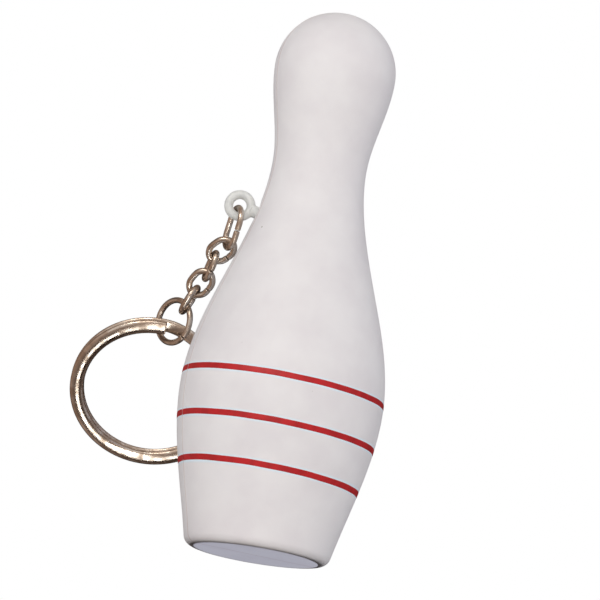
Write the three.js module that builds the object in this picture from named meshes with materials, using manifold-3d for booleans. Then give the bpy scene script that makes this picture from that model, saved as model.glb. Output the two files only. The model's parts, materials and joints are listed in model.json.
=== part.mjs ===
// Foam bowling pin key chain: a moulded foam pin, a nylon eyelet set in its shoulder, five wire links,
// a jump ring and a two-turn split ring. Millimetres, +Z along the pin's axis, origin at the middle of
// its flat base. The eyelet is on the -X side, in the mould's parting plane y = 0.
import * as THREE from "three";
import { mergeVertices } from "three/addons/utils/BufferGeometryUtils.js";
import Module from "manifold-3d";

// Pin: the heights of the belly, neck and eyelet are measured from the base, the top and the neck.
const pinHeight = 85.2;
const headRadius = 9.35;
const neckRadius = 7.25;
const neckBelowTop = 24.2;
const bellyRadius = 15.7;
const bellyHeight = 24.5;
const baseRadius = 11.35; // where the wall meets the rounded bottom edge
const baseFlare = 0.22; // the wall's slope there, radius per height
const baseEdgeRadius = 1.6;
const eyeletBelowNeck = 8.65;

// Nylon anchor: a round loop outside the foam, and a barbed shank with an end disc inside it.
const loopRadius = 1.72; // to the middle of its round section
const loopSection = 0.72; // radius of that section
const loopStandOff = 2.75; // from the foam's surface to the loop's middle
const shankRadius = 0.95;
const shankDepth = 5.2; // from the foam's surface to the end disc's far face
const barbRadius = 1.7;
const barbLength = 1.6;
const barbDepth = 1.5; // from the surface to the barb's wide end
const discRadius = 2.3;
const discThickness = 0.9;
const pocketClearance = 0.3;

// Wire pieces: lengths and widths are outside sizes.
const eyeletLinkLength = 7.4;
const eyeletLinkWidth = 5.2;
const eyeletLinkWire = 1;
const chainLinkLength = 5.6;
const chainLinkWidth = 4.1;
const chainLinkWire = 1.05;
const jumpRingDiameter = 7.7;
const jumpRingWire = 1;
const linkClearance = 0.12; // left between two wires that hang on each other
const buttGap = 0.12; // where the two ends of a bent wire meet

// Split ring: spring wire of flat section, wound in two turns side by side.
const splitRingDiameter = 25.4;
const splitWireWidth = 2.15; // radial
const splitWireThickness = 0.95; // along the ring's axis
const turnGap = 0.12; // between the two turns
const stepDegrees = 34; // the arc in which the wire crosses from one turn to the other
const endSpace = 3; // degrees between the wire's second end and the step
const firstEnd = -3; // degrees from where the ring hangs to the first end
const seatClearance = 0.3; // between the jump ring and the two turns it holds

// How the chain lies: lean is towards -X and trail towards +Y, both from straight down and counted
// from the slope between eyelet and belly; roll turns a piece about its own length.
const chainLay = [
  { name: "eyelet_link", lean: -6, trail: 2, roll: 68 },
  { name: "chain_link_1", lean: 34, trail: 16, roll: -22 },
  { name: "chain_link_2", lean: 3, trail: 18, roll: 74 },
  { name: "chain_link_3", lean: 19, trail: 18, roll: -6 },
  { name: "chain_link_4", lean: 9, trail: 14, roll: 98 },
  { name: "jump_ring", lean: 20, trail: 16, roll: 33 },
];
const ringTurn = 1; // the split ring's turn in its own plane, towards -X
const pinToRing = 0.2; // its plane slopes back, low side behind, until it clears the pin by this

// Fineness of the round forms.
const pinSides = 56;
const profileStep = 2.6; // height between two points of the pin's outline
const sectionSides = 10;
const arcSteps = 14; // half a turn of a link or ring of wire
const ringStepDegrees = 8;

const degree = Math.PI / 180;
const wasm = await Module();
wasm.setup();

const materials = {
  foam: { color: 0xe8e5e6, roughness: 0.72, metalness: 0 },
  nylon: { color: 0xe6e8e4, roughness: 0.38, metalness: 0 },
  nickel: { color: 0xb7aa9e, roughness: 0.22, metalness: 1 },
};

function makeMesh(name, geometry, look) {
  const mesh = new THREE.Mesh(geometry, new THREE.MeshStandardMaterial(materials[look]));
  mesh.name = name;
  return mesh;
}

// A closed geometry as a solid that can be joined and cut.
function solidOf(geometry) {
  const bare = geometry.clone();
  bare.deleteAttribute("normal");
  bare.deleteAttribute("uv");
  const merged = mergeVertices(bare, 1e-4);
  return new wasm.Manifold(
    new wasm.Mesh({
      numProp: 3,
      vertProperties: new Float32Array(merged.attributes.position.array),
      triVerts: new Uint32Array(merged.index.array),
    }),
  );
}

function geometryOf(solid) {
  const mesh = solid.getMesh();
  const geometry = new THREE.BufferGeometry();
  geometry.setAttribute("position", new THREE.BufferAttribute(mesh.vertProperties, 3));
  geometry.setIndex(new THREE.BufferAttribute(mesh.triVerts, 1));
  geometry.computeVertexNormals();
  return geometry;
}

// Turns a profile of (radius, height) points, listed upwards, about Z. It starts and ends on the axis.
function turned(profile, sides) {
  const points = profile.map(([radius, height]) => new THREE.Vector2(radius, height));
  return new THREE.LatheGeometry(points, sides).rotateX(Math.PI / 2);
}

// Skins a row of equal closed sections, each listed anticlockwise seen from the row's far end, and
// closes both ends with a fan.
function skinned(sections) {
  const sides = sections[0].length;
  const last = sections.length - 1;
  const points = sections.flat();
  const faces = [];
  for (let i = 0; i < last; i += 1) {
    for (let j = 0; j < sides; j += 1) {
      const a = i * sides + j;
      const b = i * sides + ((j + 1) % sides);
      faces.push(a, b, b + sides, a, b + sides, a + sides);
    }
  }
  for (let j = 1; j < sides - 1; j += 1) {
    faces.push(0, j + 1, j);
    faces.push(last * sides, last * sides + j, last * sides + j + 1);
  }
  const geometry = new THREE.BufferGeometry().setFromPoints(points);
  geometry.setIndex(faces);
  geometry.computeVertexNormals();
  return geometry;
}

// The pin's outline between two stations with given radii and slopes, as a cubic.
function outlineRadius(low, high, height) {
  const span = high.height - low.height;
  const t = (height - low.height) / span;
  const fromLow = (1 + 2 * t) * (1 - t) ** 2 * low.radius + t * (1 - t) ** 2 * span * low.slope;
  const fromHigh = t * t * (3 - 2 * t) * high.radius + t * t * (t - 1) * span * high.slope;
  return fromLow + fromHigh;
}

const neckHeight = pinHeight - neckBelowTop;
const wallAngle = Math.atan(baseFlare);
const stations = [
  { height: baseEdgeRadius * (1 - Math.sin(wallAngle)), radius: baseRadius, slope: baseFlare },
  { height: bellyHeight, radius: bellyRadius, slope: 0 },
  { height: neckHeight, radius: neckRadius, slope: 0 },
  { height: pinHeight - headRadius, radius: headRadius, slope: 0 },
];

function pinRadiusAt(height) {
  const above = Math.max(1, stations.findIndex((station) => station.height >= height));
  return outlineRadius(stations[above - 1], stations[above], height);
}

// The outline goes up the axis side: flat base, rounded edge, wall, and the head's quarter circle.
function pinProfile() {
  const profile = [[0, 0]];
  const edgeSteps = 4;
  const edgeMiddle = baseRadius - baseEdgeRadius * Math.cos(wallAngle);
  for (let i = 0; i < edgeSteps; i += 1) {
    const angle = (i / edgeSteps) * (Math.PI / 2 - wallAngle);
    profile.push([edgeMiddle + baseEdgeRadius * Math.sin(angle), baseEdgeRadius * (1 - Math.cos(angle))]);
  }
  for (let i = 0; i < stations.length - 1; i += 1) {
    const low = stations[i];
    const high = stations[i + 1];
    const steps = Math.ceil((high.height - low.height) / profileStep);
    for (let j = 0; j < steps; j += 1) {
      const height = low.height + ((high.height - low.height) * j) / steps;
      profile.push([outlineRadius(low, high, height), height]);
    }
  }
  const headSteps = 9;
  for (let i = 0; i < headSteps; i += 1) {
    const angle = (i / headSteps) * (Math.PI / 2);
    profile.push([headRadius * Math.cos(angle), pinHeight - headRadius * (1 - Math.sin(angle))]);
  }
  profile.push([0, pinHeight]);
  return profile;
}

// The anchor stands on the shoulder: its own Z points out of the foam, from a zero on the surface.
const eyeletHeight = neckHeight - eyeletBelowNeck;
const slopeStep = 0.1;
const shoulderSlope =
  (pinRadiusAt(eyeletHeight + slopeStep) - pinRadiusAt(eyeletHeight - slopeStep)) / (2 * slopeStep);
const outward = new THREE.Vector3(-1, 0, -shoulderSlope).normalize();
const loopMiddle = new THREE.Vector3(-pinRadiusAt(eyeletHeight), 0, eyeletHeight)
  .addScaledVector(outward, loopStandOff);
const surfacePoint = loopMiddle.clone().addScaledVector(outward, -loopStandOff);

function placeOnShoulder(geometry) {
  const side = new THREE.Vector3(0, 1, 0);
  const along = new THREE.Vector3().crossVectors(side, outward);
  const place = new THREE.Matrix4().makeBasis(along, side, outward).setPosition(surfacePoint);
  return geometry.applyMatrix4(place);
}

// The buried part's profile, grown by a clearance, from the end disc up to a given height.
function shankProfile(grow, top) {
  const discTop = -shankDepth + discThickness;
  return [
    [0, -shankDepth - grow],
    [discRadius + grow, -shankDepth - grow],
    [discRadius + grow, discTop + grow],
    [shankRadius + grow, discTop + grow],
    [shankRadius + grow, -barbDepth - barbLength - grow],
    [barbRadius + grow, -barbDepth - grow],
    [barbRadius + grow, -barbDepth + grow],
    [shankRadius + grow, -barbDepth + grow],
    [shankRadius + grow, top],
    [0, top],
  ];
}

function makePin() {
  const pocketMouth = 4; // well past the surface, so that the pocket is open
  const pocket = placeOnShoulder(turned(shankProfile(pocketClearance, pocketMouth), 20));
  const body = solidOf(turned(pinProfile(), pinSides)).subtract(solidOf(pocket));
  return makeMesh("foam_pin", geometryOf(body), "foam");
}

function makeAnchor() {
  const loopSides = 28;
  const loop = new THREE.TorusGeometry(loopRadius, loopSection, 12, loopSides)
    .rotateX(Math.PI / 2)
    .translate(0, 0, loopStandOff);
  const shankTop = loopStandOff - loopRadius;
  const shank = turned(shankProfile(0, shankTop), 20);
  const joined = solidOf(placeOnShoulder(loop)).add(solidOf(placeOnShoulder(shank)));
  return makeMesh("eyelet_anchor", geometryOf(joined), "nylon");
}

// A wire bent into an oval, or a circle when length and width are equal: in the XZ plane, its length
// along Z, its two ends meeting with a small gap on the +X side.
function bentWire(length, width, wire) {
  const bend = (width - wire) / 2;
  const straight = (length - width) / 2;
  const stops = [];
  const firstAngle = straight > buttGap ? 0 : buttGap / 2 / bend;
  if (straight > buttGap) stops.push([0, buttGap / 2]);
  for (let i = 0; i <= arcSteps; i += 1) {
    stops.push([firstAngle + ((Math.PI - firstAngle) * i) / arcSteps, straight]);
  }
  for (let i = straight > buttGap ? 0 : 1; i <= arcSteps; i += 1) {
    stops.push([Math.PI + ((Math.PI - firstAngle) * i) / arcSteps, -straight]);
  }
  if (straight > buttGap) stops.push([2 * Math.PI, -buttGap / 2]);
  const sections = stops.map(([angle, rise]) => {
    const ring = [];
    for (let j = 0; j < sectionSides; j += 1) {
      const turn = (2 * Math.PI * j) / sectionSides;
      const reach = bend + (wire / 2) * Math.cos(turn);
      const aside = (wire / 2) * Math.sin(turn);
      ring.push(new THREE.Vector3(reach * Math.cos(angle), aside, rise + reach * Math.sin(angle)));
    }
    return ring;
  });
  return skinned(sections);
}

// Two turns of flat wire about Y, in the XZ plane, the top at +Z. The front turn is at -Y.
const splitMiddle = (splitRingDiameter - splitWireWidth) / 2;
const turnPitch = splitWireThickness + turnGap;

function splitRingWire() {
  const sweep = 720 - stepDegrees - endSpace;
  const steps = Math.round(sweep / ringStepDegrees);
  const edge = 0.3; // of the thickness, cut off each corner of the flat section
  const halfWidth = splitWireWidth / 2;
  const halfThickness = splitWireThickness / 2;
  const cut = edge * splitWireThickness;
  const corners = [
    [halfWidth, -halfThickness + cut],
    [halfWidth, halfThickness - cut],
    [halfWidth - cut, halfThickness],
    [-halfWidth + cut, halfThickness],
    [-halfWidth, halfThickness - cut],
    [-halfWidth, -halfThickness + cut],
    [-halfWidth + cut, -halfThickness],
    [halfWidth - cut, -halfThickness],
  ];
  const sections = [];
  for (let i = 0; i <= steps; i += 1) {
    const travelled = (sweep * i) / steps;
    const stepShare = THREE.MathUtils.clamp((travelled - 360 + stepDegrees) / stepDegrees, 0, 1);
    const crossed = stepShare * stepShare * (3 - 2 * stepShare);
    const layer = turnPitch * (crossed - 0.5);
    const angle = (90 + firstEnd + travelled) * degree;
    sections.push(corners.map(([reach, aside]) => new THREE.Vector3(
      (splitMiddle + reach) * Math.cos(angle),
      layer + aside,
      (splitMiddle + reach) * Math.sin(angle),
    )));
  }
  return skinned(sections);
}

// A piece's axes: down its length, across it, and through it, from its lean, trail and roll.
function axesOf(lean, trail, roll) {
  const down = new THREE.Vector3(
    -Math.sin(lean * degree) * Math.cos(trail * degree),
    Math.sin(trail * degree),
    -Math.cos(lean * degree) * Math.cos(trail * degree),
  );
  const through = new THREE.Vector3(0, 1, 0).addScaledVector(down, -down.y).normalize();
  through.applyAxisAngle(down, roll * degree);
  const across = new THREE.Vector3().crossVectors(down, through);
  return { down, across, through };
}

function place(mesh, middle, axes) {
  const up = axes.down.clone().negate();
  mesh.quaternion.setFromRotationMatrix(new THREE.Matrix4().makeBasis(axes.across, axes.through, up));
  mesh.position.copy(middle);
  return mesh;
}

const wireSizes = {
  eyelet_link: { length: eyeletLinkLength, width: eyeletLinkWidth, wire: eyeletLinkWire },
  jump_ring: { length: jumpRingDiameter, width: jumpRingDiameter, wire: jumpRingWire },
};
const chainLinkSize = { length: chainLinkLength, width: chainLinkWidth, wire: chainLinkWire };

// Where the middle of a piece's near wire goes when it hangs on another wire: the two cross, so it lies
// square to both of them, at the given distance, on the side that the piece pulls away from.
function hungFrom(hold, holdTangent, axes, distance) {
  const apart = new THREE.Vector3().crossVectors(holdTangent, axes.across).normalize();
  if (apart.dot(axes.down) > 0) apart.negate();
  return hold.clone().addScaledVector(apart, distance);
}

// Where the split ring hangs when its plane slopes back by a trail, counted from upright.
const bundle = Math.hypot(splitWireWidth, splitWireThickness + turnPitch) / 2;

function ringPlace(hold, holdTangent, holdRadius, trail) {
  const axes = axesOf(0, trail, 0);
  axes.across.applyAxisAngle(axes.through, ringTurn * degree);
  axes.down.applyAxisAngle(axes.through, ringTurn * degree);
  const seat = hungFrom(hold, holdTangent, axes, holdRadius + bundle + seatClearance);
  return { axes, middle: seat.addScaledVector(axes.down, splitMiddle) };
}

// The least level distance between the pin's wall and the round bundle that holds the ring's two turns.
function gapToPin({ axes, middle }) {
  let least = Infinity;
  for (let angle = 0; angle < 360; angle += 2) {
    const point = middle.clone()
      .addScaledVector(axes.across, splitMiddle * Math.cos(angle * degree))
      .addScaledVector(axes.down, splitMiddle * Math.sin(angle * degree));
    least = Math.min(least, Math.hypot(point.x, point.y) - pinRadiusAt(point.z) - bundle);
  }
  return least;
}

// Each piece hangs from the far end of the one before it, inside it, with the clearance between them.
function makeChain() {
  const meshes = [];
  const drape =
    Math.atan2(bellyRadius - pinRadiusAt(eyeletHeight), eyeletHeight - bellyHeight) / degree;
  let hold = loopMiddle.clone().add(new THREE.Vector3(0, 0, -loopRadius));
  let holdTangent = new THREE.Vector3(1, 0, 0);
  let holdRadius = loopSection;
  for (const { name, lean, trail, roll } of chainLay) {
    const { length, width, wire } = wireSizes[name] ?? chainLinkSize;
    const axes = axesOf(drape + lean, drape + trail, roll);
    const reach = (length - wire) / 2;
    const near = hungFrom(hold, holdTangent, axes, holdRadius + wire / 2 + linkClearance);
    const middle = near.addScaledVector(axes.down, reach);
    meshes.push(place(makeMesh(name, bentWire(length, width, wire), "nickel"), middle, axes));
    hold = middle.clone().addScaledVector(axes.down, reach);
    holdTangent = axes.across;
    holdRadius = wire / 2;
  }
  const trailStep = 0.25;
  let trail = 0;
  let ring = ringPlace(hold, holdTangent, holdRadius, trail);
  while (gapToPin(ring) < pinToRing && trail < 90) {
    trail += trailStep;
    ring = ringPlace(hold, holdTangent, holdRadius, trail);
  }
  meshes.push(place(makeMesh("split_ring", splitRingWire(), "nickel"), ring.middle, ring.axes));
  return meshes;
}

const group = new THREE.Group();
group.add(makePin(), makeAnchor(), ...makeChain());
export default group;
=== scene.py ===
import json
import math

import bpy
import numpy as np
from mathutils import Matrix, Vector


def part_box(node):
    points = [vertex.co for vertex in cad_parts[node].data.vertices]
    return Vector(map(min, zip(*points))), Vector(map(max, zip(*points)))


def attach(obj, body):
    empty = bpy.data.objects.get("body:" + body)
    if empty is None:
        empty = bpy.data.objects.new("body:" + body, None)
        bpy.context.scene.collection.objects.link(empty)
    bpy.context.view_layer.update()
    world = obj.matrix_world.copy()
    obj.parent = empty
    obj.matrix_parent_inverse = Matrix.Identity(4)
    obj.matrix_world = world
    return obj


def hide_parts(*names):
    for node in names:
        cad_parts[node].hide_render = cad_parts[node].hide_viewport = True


# A bowling pin key chain: a moulded foam pin with three printed lines, a nylon eyelet in its shoulder,
# five wire links, a jump ring and a two-turn split ring. Settings and points are in millimetres, and
# meshes are made in metres.

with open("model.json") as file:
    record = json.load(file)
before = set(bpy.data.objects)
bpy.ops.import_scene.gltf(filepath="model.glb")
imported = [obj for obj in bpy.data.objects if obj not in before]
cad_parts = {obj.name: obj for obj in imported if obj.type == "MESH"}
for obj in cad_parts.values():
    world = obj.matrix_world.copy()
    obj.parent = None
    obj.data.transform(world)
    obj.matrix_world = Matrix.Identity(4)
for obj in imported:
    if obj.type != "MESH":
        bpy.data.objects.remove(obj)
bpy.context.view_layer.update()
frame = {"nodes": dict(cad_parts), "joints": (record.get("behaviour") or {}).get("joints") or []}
mm = 0.001
print("frame loaded:", len(frame["nodes"]), "nodes")


def outward(points, faces):
    # Turns a closed skin's faces to point outwards. A face is four point numbers, and a triangle repeats
    # its first. The sum of a . (b x c) + a . (c x d) over the faces is six times the volume.
    a, b, c, d = (points[faces[:, i]] for i in range(4))
    volume = (a * np.cross(b, c)).sum() + (a * np.cross(c, d)).sum()
    return faces if volume > 0 else faces[:, [1, 0, 3, 2]]


def newPiece(name, points, faces, look, slot, body, replaced=()):
    # A piece from points and outward faces, on its CAD body, standing for the CAD nodes it replaces.
    isQuad = (faces[:, 0] != faces[:, 3]) & (faces[:, 0] != faces[:, 1])
    quads, triangles = faces[isQuad], faces[~isQuad][:, 1:]
    mesh = bpy.data.meshes.new(name)
    mesh.from_pydata((points * mm).tolist(), [], quads.tolist() + triangles.tolist())
    mesh.polygons.foreach_set("use_smooth", np.ones(len(mesh.polygons), bool))
    mesh.update()
    piece = bpy.data.objects.new(name, mesh)
    bpy.context.scene.collection.objects.link(piece)
    piece.data.materials.append(look)
    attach(piece, body)
    for node in replaced:
        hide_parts(node)
    return piece


def skin(rings, closed=False):
    # Joins a row of equal rings of points, an array (rows, columns, 3), with quads. A row that isn't
    # closed on itself gets a fan at each end, to the middle of the end ring, and those two points come
    # last.
    rows, columns = rings.shape[:2]
    index = np.arange(rows * columns).reshape(rows, columns)
    points = rings.reshape(-1, 3)
    start = np.vstack([index, index[:1]]) if closed else index
    beside = np.roll(start, -1, axis=1)
    faces = np.stack([start[:-1], beside[:-1], beside[1:], start[1:]], axis=-1).reshape(-1, 4)
    if closed:
        return points, outward(points, faces)
    count = len(points)
    points = np.vstack([points, rings[0].mean(0), rings[-1].mean(0)])
    low = np.stack([index[0], index[0], np.full(columns, count), beside[0]], axis=-1)
    high = np.stack([index[-1], index[-1], beside[-1], np.full(columns, count + 1)], axis=-1)
    faces = np.vstack([faces, low, high])
    return points, outward(points, faces)


def wave(points, seed, size):
    # Smooth unevenness from -1 to 1 at each point: the mean of six sines of about the given wavelength,
    # each along its own fixed direction.
    draw = np.random.default_rng(seed)
    directions = draw.normal(size=(6, 3))
    directions /= np.linalg.norm(directions, axis=1, keepdims=True)
    lengths = size * draw.uniform(0.7, 1.5, 6)
    phases = draw.uniform(0, 2 * np.pi, 6)
    return np.sin(points @ directions.T * 2 * np.pi / lengths + phases).mean(-1)


def around(radius, angle, height):
    # Points at a radius, an angle about Z and a height, each an array that broadcasts with the others.
    radius, angle, height = np.broadcast_arrays(radius, angle, height)
    return np.stack([radius * np.cos(angle), radius * np.sin(angle), height], axis=-1)


def hexColour(code):
    # An sRGB hex colour as linear red, green, blue and alpha.
    channels = np.array([int(code[i:i + 2], 16) for i in (1, 3, 5)]) / 255
    linear = np.where(channels <= 0.04045, channels / 12.92, ((channels + 0.055) / 1.055) ** 2.4)
    return (*linear.tolist(), 1.0)


def addNode(tree, kind, settings, links=None):
    # Adds a node. Settings are its properties, its inputs by name or number, or a colour ramp's stops as
    # (place, hex colour). Links join its inputs, by name or number, to other nodes' outputs.
    node = tree.nodes.new("ShaderNode" + kind)
    for key, value in settings.items():
        if key == "stops":
            elements = node.color_ramp.elements
            for i, (place, code) in enumerate(value):
                element = elements[i] if i < 2 else elements.new(place)
                element.position = place
                element.color = hexColour(code)
        elif isinstance(key, int) or key in node.inputs:
            node.inputs[key].default_value = value
        else:
            setattr(node, key, value)
    for key, source in (links or {}).items():
        tree.links.new(source, node.inputs[key])
    return node


def newMaterial(name, settings):
    # A material with its principled shader set to the values of the real finish.
    material = bpy.data.materials.new(name)
    material.use_nodes = True
    tree = material.node_tree
    shader = tree.nodes["Principled BSDF"]
    for key, value in settings.items():
        shader.inputs[key].default_value = value
    return material, tree, shader


# The pin's outline. The belly's height is counted from the base, the neck's from the top and the
# eyelet's from the neck. The overall height and the belly's radius come from the frame.
pinShape = {
    "headRadius": 9.35, "neckRadius": 7.25, "neckBelowTop": 24.2, "bellyHeight": 24.5,
    "baseRadius": 11.35, "baseFlare": 0.22, "edgeRadius": 1.6, "eyeletBelowNeck": 8.65,
    "rowStep": 0.36, "columns": 300, "edgeRows": 10, "headRows": 42,
    "baseRings": (0.06, 0.3, 0.6, 0.85, 0.97),  # shares of the flat base's radius
    "crowding": 9, "crowdWidth": 0.05,  # the columns lie closer at the parting line
    "partingTurn": 19,  # degrees from the eyelet to the line where the mould halves met
    "ridgeHeight": 0.06, "ridgeHalf": 0.2,
    "uneven": 0.035, "unevenSize": 12,  # the skin's slow swells and sinks
    "dimpleDepth": 0.35, "dimpleRadius": 2.1,  # where the foam is drawn in round the eyelet
    "fadeAtBase": 3, "fadeAtTop": 2,  # the ridge and swells die away over these heights
    "fill": 1.0,
}
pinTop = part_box("foam_pin")[1]
pinHeight, bellyRadius = pinTop.z / mm, pinTop.x / mm
neckHeight = pinHeight - pinShape["neckBelowTop"]
wallAngle = math.atan(pinShape["baseFlare"])
partingAngle = math.radians(pinShape["partingTurn"])
stations = np.array([  # height, radius and slope
    (pinShape["edgeRadius"] * (1 - math.sin(wallAngle)), pinShape["baseRadius"], pinShape["baseFlare"]),
    (pinShape["bellyHeight"], bellyRadius, 0),
    (neckHeight, pinShape["neckRadius"], 0),
    (pinHeight - pinShape["headRadius"], pinShape["headRadius"], 0),
])


def wallRadius(height):
    # A cubic between stations, with t from 0 to 1 along the span between them:
    # (1 + 2t)(1 - t)^2 r0 + t(1 - t)^2 span s0 + t^2(3 - 2t) r1 + t^2(t - 1) span s1.
    i = np.clip(np.searchsorted(stations[:, 0], height) - 1, 0, len(stations) - 2)
    low, r0, s0 = np.moveaxis(stations[i], -1, 0)
    high, r1, s1 = np.moveaxis(stations[i + 1], -1, 0)
    span = high - low
    t = (height - low) / span
    start = (1 + 2 * t) * (1 - t) ** 2 * r0 + t * (1 - t) ** 2 * span * s0
    return start + t * t * (3 - 2 * t) * r1 + t * t * (t - 1) * span * s1


eyeletHeight = neckHeight - pinShape["eyeletBelowNeck"]
slopeStep = 0.1
shoulderFall = wallRadius(eyeletHeight + slopeStep) - wallRadius(eyeletHeight - slopeStep)
shoulderSlope = shoulderFall / (2 * slopeStep)
eyeletFoot = np.array([-float(wallRadius(eyeletHeight)), 0, eyeletHeight])
eyeletOut = np.array([-1, 0, -float(shoulderSlope)])
eyeletOut /= np.linalg.norm(eyeletOut)


def foamSurface(radius, angle, height):
    # The moulded skin: a bare radius, plus a cos^2 ridge along the parting plane, plus slow swells, less a
    # dimple depth * (1 - (d / reach)^2)^2 at distance d from the eyelet's foot. The ridge and the swells
    # fade out at both ends.
    bare = around(radius, angle, height)
    away = bare[..., 0] * math.sin(partingAngle) - bare[..., 1] * math.cos(partingAngle)
    half = pinShape["ridgeHalf"]
    ridge = np.where(np.abs(away) < half, np.cos(away / half * np.pi / 2) ** 2, 0)
    ridge = ridge * pinShape["ridgeHeight"]
    swell = wave(bare, 7, pinShape["unevenSize"]) * pinShape["uneven"]
    apart = np.linalg.norm(bare - eyeletFoot, axis=-1) / pinShape["dimpleRadius"]
    dimple = np.clip(1 - apart ** 2, 0, 1) ** 2 * pinShape["dimpleDepth"]
    aboveBase = np.clip((bare[..., 2] - pinShape["edgeRadius"]) / pinShape["fadeAtBase"], 0, 1)
    belowTop = np.clip((pinHeight - bare[..., 2]) / pinShape["fadeAtTop"], 0, 1)
    fade = aboveBase * belowTop
    return around(radius + fade * (ridge + swell) - dimple, angle, height)


# Moulded self-skinning polyurethane foam: a closed satin skin with a fine eggshell grain, some light under
# the surface, painted shade as a faint warm darker line along the seam where the mould halves met, and a
# few tiny pores.
foamLook = {
    # The warm grey-pink on the seam is painted shade: a darker line laid along the mould seam, beside the
    # outline.
    "skin": "#ebe8e9", "skinShade": "#e5e1e3", "seamPaintedShade": "#c9b6b1", "printEdge": "#e2f0f9",
    "pore": "#94897f", "poreCell": 6.5, "poreRadius": 0.17,
    "grain": 0.45,  # spacing of the eggshell grain, drawn about twice its real 0.2
    "mottle": 7.0, "seamShadeHalf": 0.2, "seamShadeShare": 0.65, "printEdgeWidth": 0.36,
}

# Three lines printed round the belly. Heights are their middles', above the base.
printedLines = {
    "heights": [25.9, 18.85, 12.0], "width": 1.04, "proud": 0.025, "buried": 0.08,
    "edgeSunk": 0.02, "columns": 480,
    "skew": 0.028,  # the print sits a little crooked: each line rises by this per millimetre towards -X
    "wobble": 0.035, "wobbleSize": 5,
}


def foamMaterial():
    material, tree, shader = newMaterial("selfSkinningFoam", {
        "Roughness": 0.6, "IOR": 1.45, "Specular IOR Level": 0.35,
        "Subsurface Weight": 0.12, "Subsurface Radius": (1.0, 0.92, 0.88), "Subsurface Scale": 0.6 * mm,
    })
    place = addNode(tree, "TexCoord", {}).outputs["Object"]
    mottle = addNode(tree, "TexNoise", {"Scale": 1 / (foamLook["mottle"] * mm), "Detail": 3.0},
                     {"Vector": place})
    stops = [(0.35, foamLook["skinShade"]), (0.62, foamLook["skin"])]
    colour = addNode(tree, "ValToRGB", {"stops": stops}, {"Fac": mottle.outputs["Fac"]}).outputs[0]
    # A pale edge beside each printed line: its share falls from 1 to 0 with the height above or below it.
    upwards = (printedLines["skew"], 0, 1)
    height = addNode(tree, "VectorMath", {"operation": "DOT_PRODUCT", 1: upwards},
                     {0: place}).outputs["Value"]
    half = printedLines["width"] / 2
    for level in printedLines["heights"]:
        off = addNode(tree, "Math", {"operation": "SUBTRACT", 1: level * mm}, {0: height}).outputs[0]
        off = addNode(tree, "Math", {"operation": "ABSOLUTE"}, {0: off}).outputs[0]
        share = addNode(tree, "MapRange", {
            "From Min": half * mm, "From Max": (half + foamLook["printEdgeWidth"]) * mm,
            "To Min": 1.0, "To Max": 0.0,
        }, {"Value": off}).outputs[0]
        colour = addNode(tree, "Mix", {"data_type": "RGBA", 7: hexColour(foamLook["printEdge"])},
                         {0: share, 6: colour}).outputs[2]
    # Painted shade on the parting line, a warm darker line: its share falls to 0 with the distance from
    # the parting plane.
    across = (math.sin(partingAngle), -math.cos(partingAngle), 0)
    away = addNode(tree, "VectorMath", {"operation": "DOT_PRODUCT", 1: across},
                   {0: place}).outputs["Value"]
    away = addNode(tree, "Math", {"operation": "ABSOLUTE"}, {0: away}).outputs[0]
    share = addNode(tree, "MapRange", {
        "From Min": 0.2 * foamLook["seamShadeHalf"] * mm, "From Max": foamLook["seamShadeHalf"] * mm,
        "To Min": foamLook["seamShadeShare"], "To Max": 0.0,
    }, {"Value": away}).outputs[0]
    colour = addNode(tree, "Mix", {"data_type": "RGBA", 7: hexColour(foamLook["seamPaintedShade"])},
                     {0: share, 6: colour}).outputs[2]
    # A tiny pore wherever a point of a coarse scatter lies near the surface.
    pores = addNode(tree, "TexVoronoi", {"Scale": 1 / (foamLook["poreCell"] * mm)}, {"Vector": place})
    edge = foamLook["poreRadius"] / foamLook["poreCell"]
    pore = addNode(tree, "MapRange", {
        "From Min": 0.6 * edge, "From Max": edge, "To Min": 1.0, "To Max": 0.0,
    }, {"Value": pores.outputs["Distance"]}).outputs[0]
    colour = addNode(tree, "Mix", {"data_type": "RGBA", 7: hexColour(foamLook["pore"])},
                     {0: pore, 6: colour}).outputs[2]
    tree.links.new(colour, shader.inputs["Base Color"])
    grain = addNode(tree, "TexNoise", {"Scale": 1 / (foamLook["grain"] * mm), "Detail": 2.0},
                    {"Vector": place}).outputs["Fac"]
    relief = addNode(tree, "Math", {"operation": "SUBTRACT"}, {0: grain, 1: pore}).outputs[0]
    bump = addNode(tree, "Bump", {"Strength": 0.25, "Distance": 0.03 * mm}, {"Height": relief})
    tree.links.new(bump.outputs[0], shader.inputs["Normal"])
    return material


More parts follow.
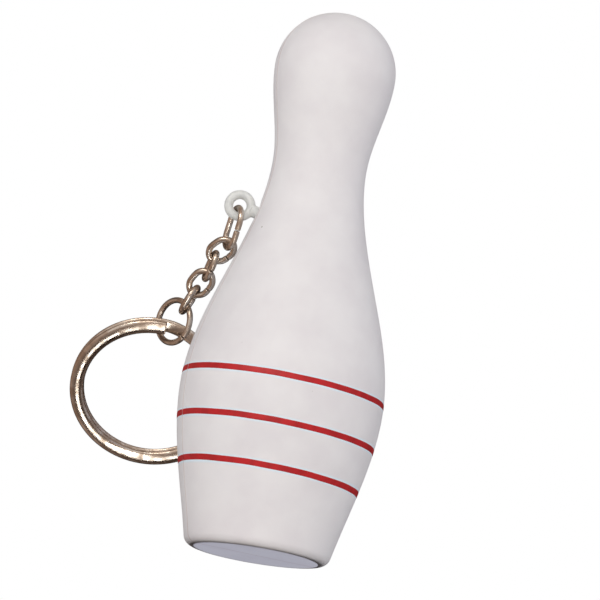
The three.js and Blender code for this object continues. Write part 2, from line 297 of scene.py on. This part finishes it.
def makePin(look):
    # Turned outline: flat base, rounded edge, wall, and the head's quarter circle. Columns crowd at the
    # parting line: their spacing goes as 1 / (1 + crowding exp(-(off / width)^2)) with the angle off it.
    edge, head = pinShape["edgeRadius"], pinShape["headRadius"]
    turn = np.linspace(0, np.pi / 2 - wallAngle, pinShape["edgeRows"])[:-1]
    edgeMiddle = pinShape["baseRadius"] - edge * math.cos(wallAngle)
    wall = np.arange(stations[0, 0], stations[-1, 0], pinShape["rowStep"])
    rise = np.linspace(0, np.pi / 2, pinShape["headRows"])[:-1]
    flat = edgeMiddle * np.array(pinShape["baseRings"])
    radius = np.concatenate([
        flat, edgeMiddle + edge * np.sin(turn), wallRadius(wall), head * np.cos(rise),
    ])
    height = np.concatenate([
        0 * flat, edge * (1 - np.cos(turn)), wall, pinHeight - head * (1 - np.sin(rise)),
    ])
    fine = np.linspace(0, 2 * np.pi, 20001)
    off = np.angle(np.exp(2j * (fine - partingAngle))) / 2
    crowd = np.cumsum(1 + pinShape["crowding"] * np.exp(-((off / pinShape["crowdWidth"]) ** 2)))
    crowd = (crowd - crowd[0]) / (crowd[-1] - crowd[0])
    angle = np.interp(np.arange(pinShape["columns"]) / pinShape["columns"], crowd, fine)
    rings = foamSurface(radius[:, None], angle, height[:, None])
    points, faces = skin(rings)
    points[-1, 2] = pinHeight  # the pole of the head
    piece = newPiece("foamPin", points, faces, look, "white_foam", "pin", ["foam_pin"])


makePin(foamMaterial())
print("foam pin made")

# Pad-printed ink: flat and a little glossier than the foam, uneven where the pad left less of it.
inkLook = {"ink": "#c2121a", "inkDeep": "#b00f16", "patch": 1.6, "grain": 0.4}


def inkMaterial():
    material, tree, shader = newMaterial("padPrintedInk", {"Roughness": 0.5, "IOR": 1.5})
    place = addNode(tree, "TexCoord", {}).outputs["Object"]
    patch = addNode(tree, "TexNoise", {"Scale": 1 / (inkLook["patch"] * mm), "Detail": 4.0},
                    {"Vector": place}).outputs["Fac"]
    stops = [(0.4, inkLook["inkDeep"]), (0.6, inkLook["ink"])]
    colour = addNode(tree, "ValToRGB", {"stops": stops}, {"Fac": patch}).outputs[0]
    tree.links.new(colour, shader.inputs["Base Color"])
    grain = addNode(tree, "TexNoise", {"Scale": 1 / (inkLook["grain"] * mm), "Detail": 2.0},
                    {"Vector": place}).outputs["Fac"]
    bump = addNode(tree, "Bump", {"Strength": 0.2, "Distance": 0.02 * mm}, {"Height": grain})
    tree.links.new(bump.outputs[0], shader.inputs["Normal"])
    return material


def makePrintedLine(number, height, look):
    # A thin band on the foam's surface. Its section runs over the top with a lift of proud * (1 - u^4)
    # from edge to edge, and back through the foam. Its level wanders a little, as a pad print's does, and
    # its edges sink into the skin.
    angle = np.linspace(0, 2 * np.pi, printedLines["columns"], endpoint=False)
    over = np.linspace(-1, 1, 9)
    under = np.array([0.6, 0.2, -0.2, -0.6])
    lift = np.concatenate([printedLines["proud"] * (1 - over ** 4), 0 * under - printedLines["buried"]])
    lift[[0, len(over) - 1]] = -printedLines["edgeSunk"]
    circle = around(bellyRadius, angle, 0)
    drift = printedLines["wobble"] * wave(circle, 20 + number, printedLines["wobbleSize"])
    centre = height + drift - printedLines["skew"] * circle[:, 0]
    level = centre[:, None] + printedLines["width"] / 2 * np.concatenate([over, under])
    rings = foamSurface(wallRadius(level), angle[:, None], level)
    rings[..., :2] *= 1 + lift[:, None] / wallRadius(level)[..., None]
    newPiece(f"printedLine{number}", *skin(rings, closed=True), look, "stripe_ink", "pin")


inkLooks = inkMaterial()
for number, height in enumerate(printedLines["heights"], start=1):
    makePrintedLine(number, height, inkLooks)
print("printed lines made")

# One nylon moulding: a round loop, a neck that swells into it, and a barbed shank with an end disc.
eyelet = {
    "loopRadius": 1.72, "section": 0.69, "standOff": 2.75,
    "shankRadius": 0.95, "shankDepth": 5.2, "barbRadius": 1.7, "barbLength": 1.6, "barbDepth": 1.5,
    "discRadius": 2.3, "discThickness": 0.9,
    "core": 0.05, "neck": 0.3, "neckSwell": 1.1,
    "loopColumns": 72, "sectionColumns": 28, "shankColumns": 40, "voxel": 0.075, "smoothing": 6,
}

# Natural injection-moulded nylon: milky, with light well inside it, and faint flow marks under the gloss.
nylonLook = {"milk": "#f0f1ee", "shade": "#e4e6e4", "flow": 1.4}


def nylonMaterial():
    material, tree, shader = newMaterial("naturalNylon", {
        "Roughness": 0.32, "IOR": 1.53, "Transmission Weight": 0.2,
        "Subsurface Weight": 0.5, "Subsurface Radius": (1.0, 1.0, 0.96), "Subsurface Scale": 0.9 * mm,
    })
    place = addNode(tree, "TexCoord", {}).outputs["Object"]
    flow = addNode(tree, "TexNoise", {
        "Scale": 1 / (nylonLook["flow"] * mm), "Detail": 3.0, "Distortion": 0.6,
    }, {"Vector": place}).outputs["Fac"]
    stops = [(0.35, nylonLook["shade"]), (0.6, nylonLook["milk"])]
    colour = addNode(tree, "ValToRGB", {"stops": stops}, {"Fac": flow}).outputs[0]
    tree.links.new(colour, shader.inputs["Base Color"])
    bump = addNode(tree, "Bump", {"Strength": 0.15, "Distance": 0.02 * mm}, {"Height": flow})
    tree.links.new(bump.outputs[0], shader.inputs["Normal"])
    return material


def makeEyelet(look):
    # A ring, ((R + r cos b) cos a, r sin b, (R + r cos b) sin a), and a turned shank, both with Z out of
    # the foam. A fine remesh makes them one body, and smoothing gives it the mould's soft inside corners.
    radius, section, standOff = eyelet["loopRadius"], eyelet["section"], eyelet["standOff"]
    a = np.linspace(0, 2 * np.pi, eyelet["loopColumns"], endpoint=False)
    b = np.linspace(0, 2 * np.pi, eyelet["sectionColumns"], endpoint=False)
    a, b = np.meshgrid(a, b, indexing="ij")
    reach = radius + section * np.cos(b)
    loop = np.stack([reach * np.cos(a), section * np.sin(b), standOff + reach * np.sin(a)], axis=-1)
    shank, disc, core = eyelet["shankRadius"], eyelet["discRadius"], eyelet["core"]
    depth, barb = eyelet["shankDepth"], eyelet["barbDepth"]
    profile = np.array([
        (core, -depth), (disc, -depth), (disc, eyelet["discThickness"] - depth),
        (shank, eyelet["discThickness"] - depth), (shank, -barb - eyelet["barbLength"]),
        (eyelet["barbRadius"], -barb), (shank, -barb), (shank, 0), (shank, eyelet["neck"]),
        (eyelet["neckSwell"] * shank, standOff - radius - 0.3 * section),
        (0.6 * shank, standOff - radius), (core, standOff - radius),
    ])
    turn = np.linspace(0, 2 * np.pi, eyelet["shankColumns"], endpoint=False)
    turned = around(profile[:, :1], turn, profile[:, 1:])
    loopPoints, loopFaces = skin(loop, closed=True)
    shankPoints, shankFaces = skin(turned)
    side = np.array([0, 1, 0])
    axes = np.stack([np.cross(side, eyeletOut), side, eyeletOut])
    points = eyeletFoot + np.vstack([loopPoints, shankPoints]) @ axes
    faces = np.vstack([loopFaces, shankFaces + len(loopPoints)])
    piece = newPiece("eyelet", points, faces, look, "nylon", "pin", ["eyelet_anchor"])
    remesh = piece.modifiers.new("oneBody", "REMESH")
    remesh.mode = "VOXEL"
    remesh.voxel_size = eyelet["voxel"] * mm
    remesh.use_smooth_shade = True
    soften = piece.modifiers.new("softCorners", "SMOOTH")
    soften.iterations = eyelet["smoothing"]
    finished = piece.evaluated_get(bpy.context.evaluated_depsgraph_get())
    piece.data = bpy.data.meshes.new_from_object(finished)
    piece.modifiers.clear()


makeEyelet(nylonMaterial())
print("eyelet made")

# Bent wire pieces, each on the body of its own name. Their lengths and widths come from the frame.
wires = {
    "diameter": {
        "eyelet_link": 1.0, "chain_link_1": 1.05, "chain_link_2": 1.05, "chain_link_3": 1.05,
        "chain_link_4": 1.05, "jump_ring": 1.0,
    },
    "barrel": 0.24,  # bows the chain links' sides, as makeBentWire's note says
    "slack": 0.035,  # each wire's radius is less than the given one by this, so that fewer links touch
    "buttGap": 0.12, "endRound": 0.14, "rowStep": 0.1, "columns": 28,
}
splitRing = {
    "width": 2.15, "thickness": 0.95, "turnGap": 0.12, "squareness": 2.05,
    "stepDegrees": 34, "endSpace": 3,
    "firstEnd": -3,  # degrees from the top at which the wire starts
    "endRound": 0.25, "rowDegrees": 1.1, "columns": 36,
}
joints = {joint["child"]: joint for joint in frame["joints"]}

# Nickel plate on drawn wire: bright and a little warm, with fine drawing lines along the wire and patches
# where the plate has dulled. The patterns run in the straightened wire's own place, in millimetres.
nickelLook = {
    "nickel": "#dcd5cd", "dulled": "#bcaea1",
    "drawLine": 0.06, "drawLength": 5.0,  # drawing lines are a few hundredths apart
    "patch": 1.6,
}


def nickelMaterial(name, roughness, lineStrength):
    material, tree, shader = newMaterial(name, {"Metallic": 1.0, "Roughness": roughness})
    wire = addNode(tree, "Attribute", {"attribute_name": "wirePlace"}).outputs["Vector"]
    fine = 1 / nickelLook["drawLine"]
    lines = addNode(tree, "Mapping", {"Scale": (1 / nickelLook["drawLength"], fine, fine)},
                    {"Vector": wire}).outputs[0]
    drawn = addNode(tree, "TexNoise", {"Scale": 1.0, "Detail": 2.0}, {"Vector": lines}).outputs["Fac"]
    patches = addNode(tree, "TexNoise", {"Scale": 1 / nickelLook["patch"], "Detail": 1.0},
                      {"Vector": wire}).outputs["Fac"]
    stops = [(0.4, nickelLook["dulled"]), (0.62, nickelLook["nickel"])]
    colour = addNode(tree, "ValToRGB", {"stops": stops}, {"Fac": patches}).outputs[0]
    tree.links.new(colour, shader.inputs["Base Color"])
    dull = addNode(tree, "MapRange", {
        "From Min": 0.3, "From Max": 0.7, "To Min": roughness * 1.5, "To Max": roughness * 0.7,
    }, {"Value": patches}).outputs[0]
    tree.links.new(dull, shader.inputs["Roughness"])
    bump = addNode(tree, "Bump", {"Strength": lineStrength, "Distance": 0.01 * mm}, {"Height": drawn})
    tree.links.new(bump.outputs[0], shader.inputs["Normal"])
    return material


def nodeShape(name):
    # A wire node's middle, axes and sizes. Its thin direction is the least axis of its points' spread,
    # and it runs down from its own hinge: d = (middle - hinge) made square to the thin direction.
    points = np.array([v.co for v in frame["nodes"][name].data.vertices]) / mm
    centre = points.mean(0)
    through = np.linalg.eigh(np.cov((points - centre).T))[1][:, 0]
    through *= np.sign(through[1])
    hinge = np.array(joints[name]["pos_m"]) / mm
    down = centre - hinge
    for _ in range(3):
        down = down - through * (down @ through)
        down /= np.linalg.norm(down)
        across = np.cross(down, through)
        axes = np.stack([across, through, -down])
        spread = (points - centre) @ axes.T
        centre = centre + (spread.max(0) + spread.min(0)) / 2 @ axes
        down = centre - hinge
    return centre, axes, spread.max(0) - spread.min(0)


def sweptWire(name, look, slot, along, path, section, endRound):
    # A section (u, v) carried along a path (x, y, z) in the node's own axes: (x + n u, y + v, z + m u),
    # with (n, m) square to the path in its plane. Within endRound of an end, at distance d, the section
    # shrinks by endRound (1 - sqrt(1 - (1 - d / endRound)^2)), which rounds off the cut wire.
    middle, axes, _ = nodeShape(name)
    nearEnd = np.clip(1 - np.minimum(along - along[0], along[-1] - along) / endRound, 0, 1)
    less = endRound * (1 - np.sqrt(1 - nearEnd ** 2))
    share = 1 - less[:, None] / np.abs(section).max(0)
    u, v = section[:, 0] * share[:, :1], section[:, 1] * share[:, 1:]
    forward = np.gradient(path[:, [0, 2]], along, axis=0)
    forward /= np.linalg.norm(forward, axis=1, keepdims=True)
    x, y, z = (path[:, i:i + 1] for i in range(3))
    rings = np.stack([x + forward[:, 1:] * u, y + v, z - forward[:, :1] * u], axis=-1)
    points, faces = skin(rings @ axes + middle)
    piece = newPiece(name + "Wire", points, faces, look, slot, name, [name])
    wirePlace = np.stack([np.broadcast_to(along[:, None], u.shape), u, v], axis=-1).reshape(-1, 3)
    wirePlace = np.vstack([wirePlace, [along[0], 0, 0], [along[-1], 0, 0]])
    attribute = piece.data.attributes.new("wirePlace", "FLOAT_VECTOR", "POINT")
    attribute.data.foreach_set("vector", wirePlace.astype(np.float32).ravel())


def stationsAlong(start, end, step, endRound):
    # Places along a wire, close together where its ends are rounded: endRound (1 - cos t) from each end.
    close = endRound * (1 - np.cos(np.linspace(0, np.pi / 2, 7)[:-1]))
    middle = np.linspace(start + endRound, end - endRound, round((end - start) / step))
    return np.concatenate([start + close, middle, (end - close)[::-1]])


def makeBentWire(name, look):
    # An oval of two half circles and two straights, or a circle, that starts and ends at the middle of
    # one side. With s along it, straight h to a side's end and bend b: the angle is
    # clip((s - h) / b, 0, pi) + clip((s - 3h) / b - pi, 0, pi), and the rise is
    # clip(s, 0, h) - clip(s - h - pi b, 0, 2h) + clip(s - 3h - 2 pi b, 0, h). The chain links' sides are
    # bowed: x is less by barrel * (z / end)^2 of itself.
    wire = wires["diameter"][name]
    width, _, length = nodeShape(name)[2]
    bend, h = (width - wire) / 2, max(0, length - width) / 2
    whole = 4 * h + 2 * np.pi * bend
    gap, endRound = wires["buttGap"], wires["endRound"]
    s = stationsAlong(gap / 2, whole - gap / 2, wires["rowStep"], endRound)
    angle = np.clip((s - h) / bend, 0, np.pi) + np.clip((s - 3 * h) / bend - np.pi, 0, np.pi)
    rise = np.clip(s, 0, h) - np.clip(s - h - np.pi * bend, 0, 2 * h)
    rise += np.clip(s - 3 * h - 2 * np.pi * bend, 0, h)
    turn = np.linspace(0, 2 * np.pi, wires["columns"], endpoint=False)
    section = (wire / 2 - wires["slack"]) * np.stack([np.cos(turn), np.sin(turn)], axis=-1)
    x, z = bend * np.cos(angle), rise + bend * np.sin(angle)
    if name.startswith("chain_link"):
        x *= 1 - wires["barrel"] * (z / (h + bend)) ** 2
    sweptWire(name, look, "nickel_wire", s, np.stack([x, 0 * s, z], axis=-1), section, endRound)


def makeSplitRing(name, look):
    # Two turns of a rounded flat wire, (w sgn(c) |c|^(2/n), t sgn(s) |s|^(2/n)) with c and s the cosine
    # and sine round it. It steps from the front turn to the back one by 3q^2 - 2q^3 over the step's arc.
    diameter = nodeShape(name)[2][0]
    bend = (diameter - splitRing["width"]) / 2
    sweep = 720 - splitRing["stepDegrees"] - splitRing["endSpace"]
    perDegree = bend * math.pi / 180
    endRound = splitRing["endRound"]
    s = stationsAlong(0, sweep * perDegree, splitRing["rowDegrees"] * perDegree, endRound)
    travelled = s / perDegree
    q = np.clip((travelled - 360) / splitRing["stepDegrees"] + 1, 0, 1)
    layer = (splitRing["thickness"] + splitRing["turnGap"]) * (3 * q ** 2 - 2 * q ** 3 - 0.5)
    angle = np.radians(90 + splitRing["firstEnd"] + travelled)
    turn = np.linspace(0, 2 * np.pi, splitRing["columns"], endpoint=False)
    circle = np.stack([np.cos(turn), np.sin(turn)], axis=-1)
    power = 2 / splitRing["squareness"]
    halves = np.array([splitRing["width"], splitRing["thickness"]]) / 2
    section = halves * np.sign(circle) * np.abs(circle) ** power
    path = np.stack([bend * np.cos(angle), layer, bend * np.sin(angle)], axis=-1)
    sweptWire(name, look, "nickel_ring", s, path, section, endRound)


wireLooks = nickelMaterial("nickelPlatedWire", roughness=0.24, lineStrength=0.1)
for name in wires["diameter"]:
    makeBentWire(name, wireLooks)
print("links and jump ring made")
springLooks = nickelMaterial("nickelPlatedSpringWire", roughness=0.27, lineStrength=0.05)
makeSplitRing("split_ring", springLooks)
print("split ring made")

# The view: the camera looks a little upwards at the pin, which leans in the frame. Sizes in degrees and
# millimetres.
view = {"up": 9.3, "roll": 9.35, "width": 92, "distance": 1200, "aim": (0.35, 0, 40.05)}
studio = {
    "floor": "#e9e9e7", "floorShade": "#e6e6e4", "fibre": 0.8,
    "floorRings": (9.6, 40, 200, 1500), "floorColumns": 96, "floorDrop": 0.05,
    "sky": "#cfcecd", "ground": "#bcbfcd",  # the soft light from above and below
    "skyline": (-0.5, 0.7),  # the heights between which one turns into the other
    # What the wire mirrors beyond the lights: a dim warm room, uneven, darkest behind the object.
    "room": [
        (0.3, "#2d231d"), (0.43, "#6a594f"), (0.55, "#94857c"), (0.66, "#ad8d78"), (0.74, "#e9e0d8"),
    ],
    "roomScale": 1.1, "roomLean": (-0.1, -0.3, 0.12),
}
# Soft boxes. Each stands in a direction given along the camera's right, its top and back to the camera,
# and serves either the mirroring metal or everything matt.
lights = {
    "key": {
        "from": (-0.12, 0.3, 1), "distance": 900, "size": (600, 600), "power": 4.5,
        "colour": "#fffbf6", "forMetal": False,
    },
    "fill": {
        "from": (1, 0, -0.25), "distance": 900, "size": (500, 900), "power": 0.9,
        "colour": "#cddcff", "forMetal": False,
    },
    "mirrored": {
        "from": (-0.08, -0.75, 1), "distance": 1000, "size": (150, 1000), "power": 4.6,
        "colour": "#fffaf2", "forMetal": True,
    },
    "mirroredTop": {
        "from": (-0.5, 1.1, 1), "distance": 1000, "size": (500, 160), "power": 3,
        "colour": "#fff4e6", "forMetal": True,
    },
}


def makeCamera():
    up, roll = math.radians(view["up"]), math.radians(view["roll"])
    ahead = Vector((0, math.cos(up), math.sin(up)))
    level = Vector((0, -math.sin(up), math.cos(up)))
    right = Vector((math.cos(roll), 0, 0)) + math.sin(roll) * level
    above = Vector((-math.sin(roll), 0, 0)) + math.cos(roll) * level
    camera = bpy.data.objects.new("camera", bpy.data.cameras.new("camera"))
    camera.data.lens = camera.data.sensor_width * view["distance"] / view["width"]
    camera.data.clip_start, camera.data.clip_end = 0.05, 20
    place = Vector(view["aim"]) * mm - ahead * view["distance"] * mm
    turn = Matrix((right, above, -ahead)).transposed().to_4x4()
    camera.matrix_world = Matrix.Translation(place) @ turn
    bpy.context.scene.collection.objects.link(camera)
    bpy.context.scene.camera = camera
    return right, above, -ahead


def makeLight(name, light, right, above, toCamera):
    # A soft box that looks at the object's middle.
    data = bpy.data.lights.new(name, "AREA")
    data.shape = "RECTANGLE"
    data.size, data.size_y = (side * mm for side in light["size"])
    data.energy = light["power"]
    data.color = hexColour(light["colour"])[:3]
    lamp = bpy.data.objects.new(name, data)
    aim = Vector(view["aim"]) * mm
    sideways, up, back = light["from"]
    direction = back * toCamera + sideways * right + up * above
    lamp.location = aim + direction.normalized() * light["distance"] * mm
    lamp.rotation_euler = (lamp.location - aim).to_track_quat("Z", "Y").to_euler()
    lamp.visible_glossy = light["forMetal"]
    lamp.visible_diffuse = not light["forMetal"]
    lamp.visible_camera = False
    bpy.context.scene.collection.objects.link(lamp)


def makeWorld():
    # White behind the object, a dim warm room for the metal to mirror, and soft light for the rest.
    world = bpy.data.worlds.new("studio")
    world.use_nodes = True
    tree = world.node_tree
    tree.nodes.clear()
    rays = addNode(tree, "LightPath", {})
    place = addNode(tree, "TexCoord", {}).outputs["Generated"]
    height = addNode(tree, "SeparateXYZ", {}, {"Vector": place}).outputs["Z"]
    low, high = studio["skyline"]
    rise = addNode(tree, "MapRange", {"From Min": low, "From Max": high}, {"Value": height}).outputs[0]
    ground, sky = hexColour(studio["ground"]), hexColour(studio["sky"])
    level = addNode(tree, "Mix", {"data_type": "RGBA", 6: ground, 7: sky}, {0: rise}).outputs[2]
    blur = addNode(tree, "TexNoise", {"Scale": studio["roomScale"], "Detail": 1.0},
                   {"Vector": place}).outputs["Fac"]
    facing = addNode(tree, "VectorMath", {"operation": "DOT_PRODUCT", 1: studio["roomLean"]},
                     {0: place}).outputs["Value"]
    share = addNode(tree, "Math", {"operation": "ADD"}, {0: blur, 1: facing}).outputs[0]
    room = addNode(tree, "ValToRGB", {"stops": studio["room"]}, {"Fac": share}).outputs[0]
    soft = addNode(tree, "Mix", {"data_type": "RGBA"},
                   {0: rays.outputs["Is Glossy Ray"], 6: level, 7: room})
    shown = addNode(tree, "Mix", {"data_type": "RGBA", 7: (1, 1, 1, 1)},
                    {0: rays.outputs["Is Camera Ray"], 6: soft.outputs[2]})
    background = addNode(tree, "Background", {}, {"Color": shown.outputs[2]})
    addNode(tree, "OutputWorld", {}, {"Surface": background.outputs[0]})
    bpy.context.scene.world = world


def makeFloor():
    # A pale sheet of studio card that shows only from above, with an opening under the pin's base.
    turn = np.linspace(0, 2 * np.pi, studio["floorColumns"], endpoint=False)
    rings = around(np.array(studio["floorRings"])[:, None], turn, -studio["floorDrop"])
    index = np.arange(rings[..., 0].size).reshape(rings.shape[:2])
    beside = np.roll(index, -1, axis=1)
    faces = np.stack([index[:-1], index[1:], beside[1:], beside[:-1]], axis=-1).reshape(-1, 4)
    mesh = bpy.data.meshes.new("floor")
    mesh.from_pydata((rings.reshape(-1, 3) * mm).tolist(), [], faces.tolist())
    floor = bpy.data.objects.new("floor", mesh)
    bpy.context.scene.collection.objects.link(floor)
    material, tree, shader = newMaterial("studioCard", {"Roughness": 0.9})
    place = addNode(tree, "TexCoord", {}).outputs["Object"]
    fibre = addNode(tree, "TexNoise", {"Scale": 1 / (studio["fibre"] * mm), "Detail": 3.0},
                    {"Vector": place}).outputs["Fac"]
    stops = [(0.3, studio["floorShade"]), (0.7, studio["floor"])]
    colour = addNode(tree, "ValToRGB", {"stops": stops}, {"Fac": fibre}).outputs[0]
    tree.links.new(colour, shader.inputs["Base Color"])
    clear = addNode(tree, "BsdfTransparent", {})
    facing = addNode(tree, "NewGeometry", {}).outputs["Backfacing"]
    oneSided = addNode(tree, "MixShader", {}, {0: facing, 1: shader.outputs[0], 2: clear.outputs[0]})
    tree.links.new(oneSided.outputs[0], tree.nodes["Material Output"].inputs["Surface"])
    floor.data.materials.append(material)
    floor.visible_glossy = False


right, above, toCamera = makeCamera()
makeWorld()
makeFloor()
for name, light in lights.items():
    makeLight(name, light, right, above, toCamera)
bpy.context.scene.view_settings.view_transform = "Standard"
print("studio made")
